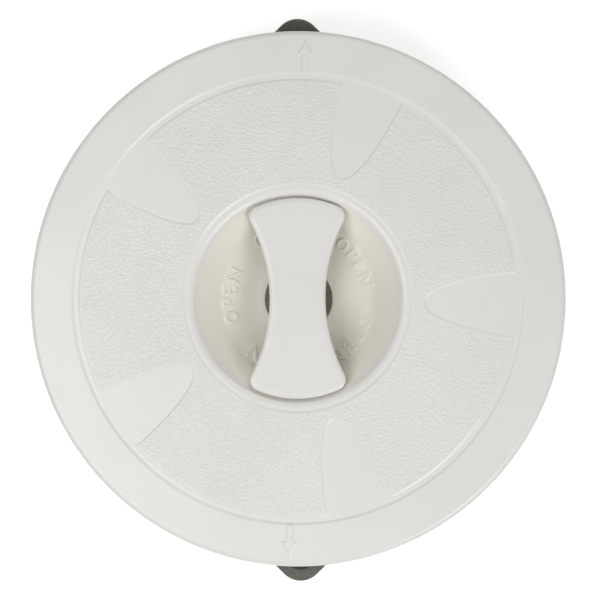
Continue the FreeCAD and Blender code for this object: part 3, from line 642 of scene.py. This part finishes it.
def handle_outline(inset, height):
    """The handle's outline at a height, moved in by inset, and held inside the cone of the dish's wall."""
    corners = []
    for turn in (0, 180):
        flip = Matrix.Rotation(math.radians(turn), 2)
        half = arc((SIDE_AT, 0), SIDE_RADIUS + inset, 180 + SIDE_SWEEP, 180 - SIDE_SWEEP, LONG_STEPS)
        half += arc(CORNER_AT, CORNER_RADIUS - inset, -SIDE_SWEEP, 90 - END_SWEEP, SHORT_STEPS)
        half += arc((0, 0), END_RADIUS - inset, 90 - END_SWEEP, 90 + END_SWEEP, LONG_STEPS)
        half += arc((-CORNER_AT.x, CORNER_AT.y), CORNER_RADIUS - inset, 90 + END_SWEEP, 180 + SIDE_SWEEP,
                    SHORT_STEPS)
        corners += [flip @ Vector(point) for point in half]
    reach = REACH - (CHANNEL - height) / math.tan(WALL_SLOPE) - inset
    held = [corner * min(1, reach / corner.length) for corner in corners]
    return [(x, y, height) for x, y in held]


print("the handle's outline has", len(handle_outline(0, HANDLE_TOP)), "corners")

# %% Stack the outlines
HANDLE_EDGE = [
    (2.8, 9.7), (2.8, HANDLE_UNDER), (0, HANDLE_UNDER), (0, 4), (0, 6), (0, 8), (0, 9.2), (0, 10.2),
    (0, 11.3), (0.08, 11.55), (0.25, 11.75), (0.5, 11.93), (0.85, 12.12), (1.25, 12.28), (1.7, 12.4),
    (2.2, 12.47), (2.7, HANDLE_TOP),
]
HANDLE_TURN = 2.2
SPINDLE_BLOCK = (19, 30.2, 16.5), (0, 0, 2.3)
WING_RIB = (2.2, 73, 8), (0, 0, 5.6)

grip = bmesh.new()
lines = stacked(grip, [handle_outline(*step) for step in HANDLE_EDGE])
for line in (lines[0], lines[-1]):
    bmesh.ops.contextual_create(grip, geom=line)
bmesh.ops.recalc_face_normals(grip, faces=grip.faces)
for size, middle in (SPINDLE_BLOCK, WING_RIB):
    block = bmesh.ops.create_cube(grip, size=MM)["verts"]
    bmesh.ops.scale(grip, verts=block, vec=size)
    bmesh.ops.translate(grip, verts=block, vec=Vector(middle) * MM)
grip_turn = Matrix.Rotation(math.radians(HANDLE_TURN), 3, "Z")
bmesh.ops.rotate(grip, verts=grip.verts, cent=ORIGIN, matrix=grip_turn)
handle = link_piece("handle_grip", grip, asa_white, "lock", 40)
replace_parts(handle, "handle")

# %% [markdown]
# ## Screws and bolt
# Ten cross-head screws hold the seal's ring from below, and a hexagon bolt holds the bar. The recess and
# the hexagon's chamfer are cut with the Boolean modifier. It works best on sizes near one, so these shapes
# are drawn with a millimetre as the unit and shrunk afterwards. One screw is made, and a spin copies it
# round the ring.

# %% Make the cutting tool
def blank_object(shape):
    """A temporary object from a bmesh drawn in mm."""
    mesh = bpy.data.meshes.new("blank")
    shape.to_mesh(mesh)
    shape.free()
    blank = bpy.data.objects.new("blank", mesh)
    bpy.context.scene.collection.objects.link(blank)
    return blank


def cut_shape(shape, cutters, operation):
    """A shape drawn in mm after a Boolean with each cutter, as a bmesh in metres."""
    blank = blank_object(shape)
    tools = [blank_object(cutter) for cutter in cutters]
    for tool in tools:
        boolean = blank.modifiers.new("cut", "BOOLEAN")
        boolean.operation = operation
        boolean.object = tool
    mesh = bpy.data.meshes.new_from_object(blank.evaluated_get(bpy.context.evaluated_depsgraph_get()))
    result = bmesh.new()
    result.from_mesh(mesh)
    bmesh.ops.scale(result, verts=result.verts, vec=[MM] * 3)
    for spare in (mesh, blank.data, *[tool.data for tool in tools]):
        bpy.data.meshes.remove(spare)
    return result


def round_bar(shape, low, high, low_radius, high_radius, segments=32):
    """Adds an upright cylinder or cone between two heights."""
    bar = bmesh.ops.create_cone(shape, cap_ends=True, segments=segments, radius1=low_radius,
                                radius2=high_radius, depth=high - low)["verts"]
    bmesh.ops.translate(shape, verts=bar, vec=(0, 0, (low + high) / 2))


disc, drill = bmesh.new(), bmesh.new()
round_bar(disc, 0, 1, 2, 2)
round_bar(drill, -1, 2, 1, 1)
sample = cut_shape(disc, [drill], "DIFFERENCE")
print("a drilled disc has", len(sample.faces), "faces")
sample.free()

# %% Make the screws
HEAD_RADIUS, HEAD_HEIGHT, HEAD_ROUND = 3.6, 2.4, 1.2
HEAD_TOP = 2.3
SHANK_RADIUS, SHANK_LOW, SHANK_TOP = 1.95, 2.2, 9.4
POINT_RADIUS, POINT_TOP = 1.0, 10.3
GROOVE_LONG, GROOVE_WIDE, GROOVE_HIGH = 3.6, 0.8, 2.6
SCREWS, SCREW_CIRCLE, SCREW_TURN = 10, 96.5, 18

head = bmesh.new()
round_bar(head, HEAD_TOP - HEAD_HEIGHT, HEAD_TOP, HEAD_RADIUS, HEAD_RADIUS)
brim = [edge for edge in head.edges if all(vert.co.z < HEAD_TOP - HEAD_HEIGHT / 2 for vert in edge.verts)]
bmesh.ops.bevel(head, geom=brim, offset=HEAD_ROUND, segments=5, profile=0.5, affect="EDGES", material=-1)
grooves = []
for size in ((GROOVE_LONG, GROOVE_WIDE, GROOVE_HIGH), (GROOVE_WIDE, GROOVE_LONG, GROOVE_HIGH)):
    groove = bmesh.new()
    bmesh.ops.create_cube(groove, size=1)
    bmesh.ops.scale(groove, verts=groove.verts, vec=size)
    grooves.append(groove)
screws = cut_shape(head, grooves, "DIFFERENCE")
round_bar(screws, SHANK_LOW * MM, SHANK_TOP * MM, SHANK_RADIUS * MM, SHANK_RADIUS * MM)
round_bar(screws, SHANK_TOP * MM, POINT_TOP * MM, SHANK_RADIUS * MM, POINT_RADIUS * MM)
bmesh.ops.translate(screws, verts=screws.verts, vec=(SCREW_CIRCLE * MM, 0, 0))
screw_turn = Matrix.Rotation(math.radians(SCREW_TURN), 3, "Z")
bmesh.ops.rotate(screws, verts=screws.verts, cent=ORIGIN, matrix=screw_turn)
bmesh.ops.spin(screws, geom=[*screws.verts, *screws.edges, *screws.faces], axis=AXIS, cent=ORIGIN,
               angle=math.tau * (SCREWS - 1) / SCREWS, steps=SCREWS - 1, use_duplicate=True)
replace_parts(link_piece("cross_head_screws", screws, stainless, "lid"), "retainer_screws")

# %% Make the bolt
BOLT_LOW, BOLT_NECK, BOLT_TOP = -40.65, -36.65, -20.65
HEXAGON_RADIUS, BOLT_RADIUS = 5.7735, 3
CONE_LOW, CONE_HIGH = 3.07, 13.46

hexagon = bmesh.new()
round_bar(hexagon, BOLT_LOW, BOLT_NECK, HEXAGON_RADIUS, HEXAGON_RADIUS, 6)
bolt_turn = Matrix.Rotation(math.radians(30 + HANDLE_TURN), 3, "Z")
bmesh.ops.rotate(hexagon, verts=hexagon.verts, cent=ORIGIN, matrix=bolt_turn)
chamfer = bmesh.new()
round_bar(chamfer, BOLT_LOW - 1, BOLT_NECK + 1, CONE_LOW, CONE_HIGH, 64)
bolt = cut_shape(hexagon, [chamfer], "INTERSECT")
round_bar(bolt, BOLT_NECK * MM, BOLT_TOP * MM, BOLT_RADIUS * MM, BOLT_RADIUS * MM)
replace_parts(link_piece("hexagon_bolt", bolt, stainless, "lock"), "centre_bolt")

# %% [markdown]
# ## Floor
# The lid stands on a plain white floor, on the head of its bolt. The lamps alone would leave the floor
# grey, so it glows as well, but only for the camera and in reflections.

# %% Make the floor
FLOOR_HALF = 6.0
GLOW = 0.62

floor_mesh = bpy.data.meshes.new("floor")
shape = bmesh.new()
bmesh.ops.create_grid(shape, x_segments=1, y_segments=1, size=FLOOR_HALF)
shape.to_mesh(floor_mesh)
shape.free()
floor_mesh.transform(Matrix.Translation((0, 0, cad_box[0].z)))
floor = bpy.data.objects.new("floor", floor_mesh)
bpy.context.scene.collection.objects.link(floor)

paper, tree = new_material("white_paper")
path = add_node(tree, "LightPath")
seen = add_node(tree, "Math", {"operation": "MAXIMUM"}, _0=path.outputs["Is Camera Ray"],
                _1=path.outputs["Is Glossy Ray"])
seen = add_node(tree, "Math", {"operation": "MAXIMUM"}, _0=seen.outputs[0],
                _1=path.outputs["Is Transmission Ray"])
glow = add_node(tree, "Emission", Color=linear("#FFFFFF"), Strength=GLOW)
matt = add_node(tree, "BsdfDiffuse", Color=linear("#F2F2F0"))
both = add_node(tree, "AddShader", _0=glow.outputs[0], _1=matt.outputs[0])
choice = add_node(tree, "MixShader", _0=seen.outputs[0], _1=matt.outputs[0], _2=both.outputs[0])
add_node(tree, "OutputMaterial", Surface=choice.outputs[0])
floor_mesh.materials.append(paper)
print("floor at", round(cad_box[0].z / MM, 2), "mm")
